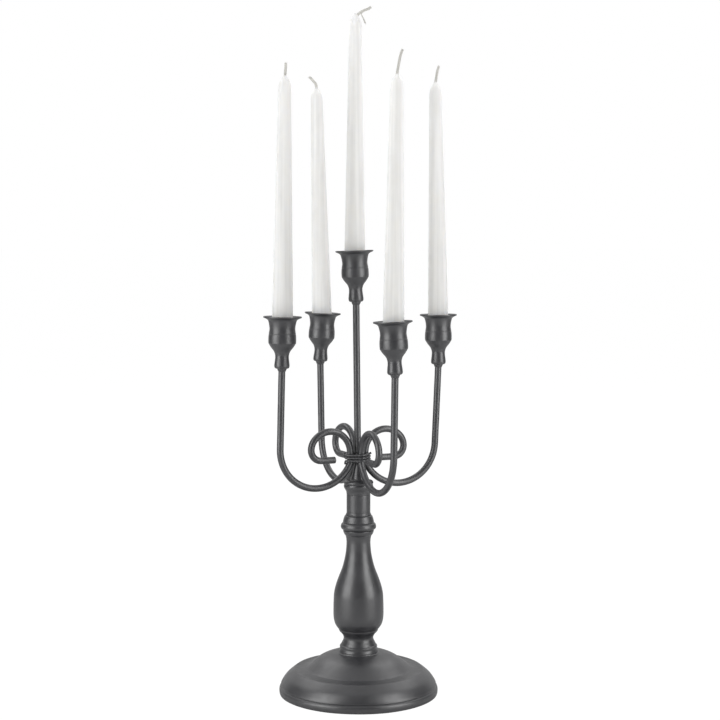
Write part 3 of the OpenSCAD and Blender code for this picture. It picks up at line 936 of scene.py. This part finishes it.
def wick_threads(branch, chance):
    """Every thread of one wick in its candle's own axes, as (route, radii) pairs."""
    toward, steps = WICKS[branch]
    flat, _ = rod_route((0, CANDLE_L - WICK_IN, 90), steps, 0.3)
    route = stand_up(flat, toward)
    core = [(0, 0, z) for z in np.linspace(WICK_BOTTOM, CANDLE_L - WICK_IN, 20)]
    threads = [(core, 2 * STRAND_R)]
    for strand in braid(route):
        end_taper = np.minimum(1, np.arange(len(strand))[::-1] / 5 + 0.55)
        threads.append((strand, STRAND_R * end_taper))
        end_direction = strand[-1] - strand[-3]
        end_direction /= np.linalg.norm(end_direction)
        threads += fibres(chance, strand[-2], end_direction, 7, 1.6, 0.25, 0.09)
        # Single fibres along the strand, above the wax
        for i in range(24, len(strand) - 4, 6):
            direction = np.array([chance.gauss(0, 1) for _ in range(3)])
            direction /= np.linalg.norm(direction)
            threads += fibres(chance, strand[i] + direction * STRAND_R * 0.7, direction, 1, 0.9, 0.3, 0.035)
    if branch == "centre":
        threads += loose_strand(route, toward, chance)
    return threads


def loose_strand(route, toward, chance):
    """A strand of the centre wick that has come loose at its end and hangs beside it."""
    start = np.array(route[int(len(route) * 0.46)])
    out = np.array([*polar(1, toward), 0])
    fall = [(0.7, -1.4), (2, -4.2), (3.3, -7), (4.5, -9.6), (4.9, -10.8)]
    hang = curve([start, *(start + out * x + (0, 0, z) for x, z in fall)])
    radii = np.linspace(0.4, 0.95, len(hang))
    return [(hang, radii), *fibres(chance, hang[-1], (0, 0, -1), 6, 1.8, 0.3, 0.08)]


def wicks():
    chance = random.Random(7)
    for branch in BRANCHES:
        points, faces = [], []
        for route, radii in wick_threads(branch, chance):
            sides = 10 if np.max(radii) > 0.2 else 5
            new_points, new_faces = tube_parts(route, radii, sides, len(points))
            points += new_points
            faces += new_faces
        piece = add_mesh(f"braided_wick_{branch}", points, faces)
        piece.data.transform(in_metres(candle_frame(branch)))
        finish_piece(piece, COTTON, "wick", f"taper_{branch}", f"wick_{branch}")


# ---------- stage ----------
# The view is from in front, turned 25 degrees about Z from looking along +Y.

VIEW_AZIMUTH = -25
VIEW_DISTANCE = 1.688
VIEW_HEIGHT = 0.4787
VIEW_SIDE_STEP = 0.0016
VIEW_DOWN = 4.25
LENS = 81


def seen_from(bearing, distance, z):
    """A point round the object from the camera, at a bearing in degrees to the camera's right."""
    a = math.radians(VIEW_AZIMUTH + bearing)
    return Vector((math.sin(a) * distance, -math.cos(a) * distance, z))


def camera():
    data = bpy.data.cameras.new("camera")
    data.lens = LENS
    data.sensor_width = 36
    view = bpy.data.objects.new("camera", data)
    scene.collection.objects.link(view)
    turn = math.radians(VIEW_AZIMUTH)
    right = Vector((math.cos(turn), math.sin(turn), 0))
    view.location = seen_from(0, VIEW_DISTANCE, VIEW_HEIGHT) + right * VIEW_SIDE_STEP
    view.rotation_euler = (math.radians(90 - VIEW_DOWN), 0, turn)
    scene.camera = view


def soft_box(name, place, facing, size, radiance):
    """A large soft light of one radiance all over, at a place and facing a point."""
    data = bpy.data.lights.new(name, "AREA")
    data.shape = "RECTANGLE"
    data.size, data.size_y = size
    data.energy = radiance * math.pi * size[0] * size[1]
    light = bpy.data.objects.new(name, data)
    scene.collection.objects.link(light)
    light.location = place
    light.rotation_euler = (Vector(facing) - place).to_track_quat("-Z", "Y").to_euler()
    light.visible_camera = False


def lights():
    """A tall box on either side, and the pale walls, backdrop and ceiling of a light tent."""
    box_z, backdrop_z = 0.92, 1.12
    soft_box("left_box", seen_from(-57.5, 1.4, box_z), (0, 0, box_z), (1.02, 1.8), 3.7)
    soft_box("right_box", seen_from(59, 1.4, box_z), (0, 0, box_z), (0.84, 1.8), 4.05)
    soft_box("overhead", Vector((0, 0, 2.2)), (0, 0, 0), (2, 2), 0.55)
    soft_box("backdrop", seen_from(180, 2.4, backdrop_z), (0, 0, backdrop_z), (6, 2.2), 0.6)
    for name, bearing, radiance in (("left_wall", -130, 1.9), ("right_wall", 130, 1.8)):
        soft_box(name, seen_from(bearing, 1.6, 2.0), (0, 0, 0.2), (1.9, 1.3), radiance)


def camera_only(nodes, links, shader, seen, output):
    """Sends shader to output, or seen where the camera looks straight at it."""
    rays = nodes.new("ShaderNodeLightPath")
    both = nodes.new("ShaderNodeMixShader")
    links.new(rays.outputs["Is Camera Ray"], both.inputs["Fac"])
    links.new(shader, both.inputs[1])
    links.new(seen, both.inputs[2])
    links.new(both.outputs["Shader"], output)


def surroundings():
    """A pale room that lights the object softly, behind white paper."""
    world = bpy.data.worlds.new("studio")
    world.use_nodes = True
    nodes, links = world.node_tree.nodes, world.node_tree.links
    room = nodes["Background"]
    room.inputs["Color"].default_value = (1, 1, 1, 1)
    room.inputs["Strength"].default_value = 0.085
    paper = nodes.new("ShaderNodeBackground")
    paper.inputs["Color"].default_value = (1, 1, 1, 1)
    camera_only(nodes, links, room.outputs[0], paper.outputs[0], nodes["World Output"].inputs["Surface"])
    scene.world = world
    scene.view_settings.view_transform = "Standard"


def floor():
    """A pale floor that runs out to the horizon. To the camera it is nearly white, with faint shadows."""
    far, below, corners = 60.0, -0.0002, 64
    rim = [(*polar(far, 360 * k / corners), below) for k in range(corners)]
    mesh = bpy.data.meshes.new("floor")
    mesh.from_pydata(rim, [], [range(corners)])
    ground = bpy.data.objects.new("floor", mesh)
    scene.collection.objects.link(ground)
    s = Surface("pale_floor", Roughness=0.9, Specular_IOR_Level=0.1)
    s.drive("Base Color", s.ramp(s.noise(3, 2), (0.64, 0.64, 0.64), (0.67, 0.67, 0.67)))
    glow = s.tree.nodes.new("ShaderNodeEmission")
    glow.inputs["Strength"].default_value = 1.07
    faint = s.tree.nodes.new("ShaderNodeMixShader")
    faint.inputs["Fac"].default_value = 0.93
    s.link(s.shader.outputs[0], faint.inputs[1])
    s.link(glow.outputs[0], faint.inputs[2])
    surface = s.tree.nodes["Material Output"].inputs["Surface"]
    camera_only(s.tree.nodes, s.tree.links, s.shader.outputs[0], faint.outputs[0], surface)
    mesh.materials.append(s.material)


camera()
foot_shell()
foot_plate()
foot_felt()
threaded_rod()
hex_nut()
washer()
column()
arms()
centre_stem()
binding()
arm_weld_beads()
cup_weld_beads()
cups()
candles()
wicks()
floor()
lights()
surroundings()
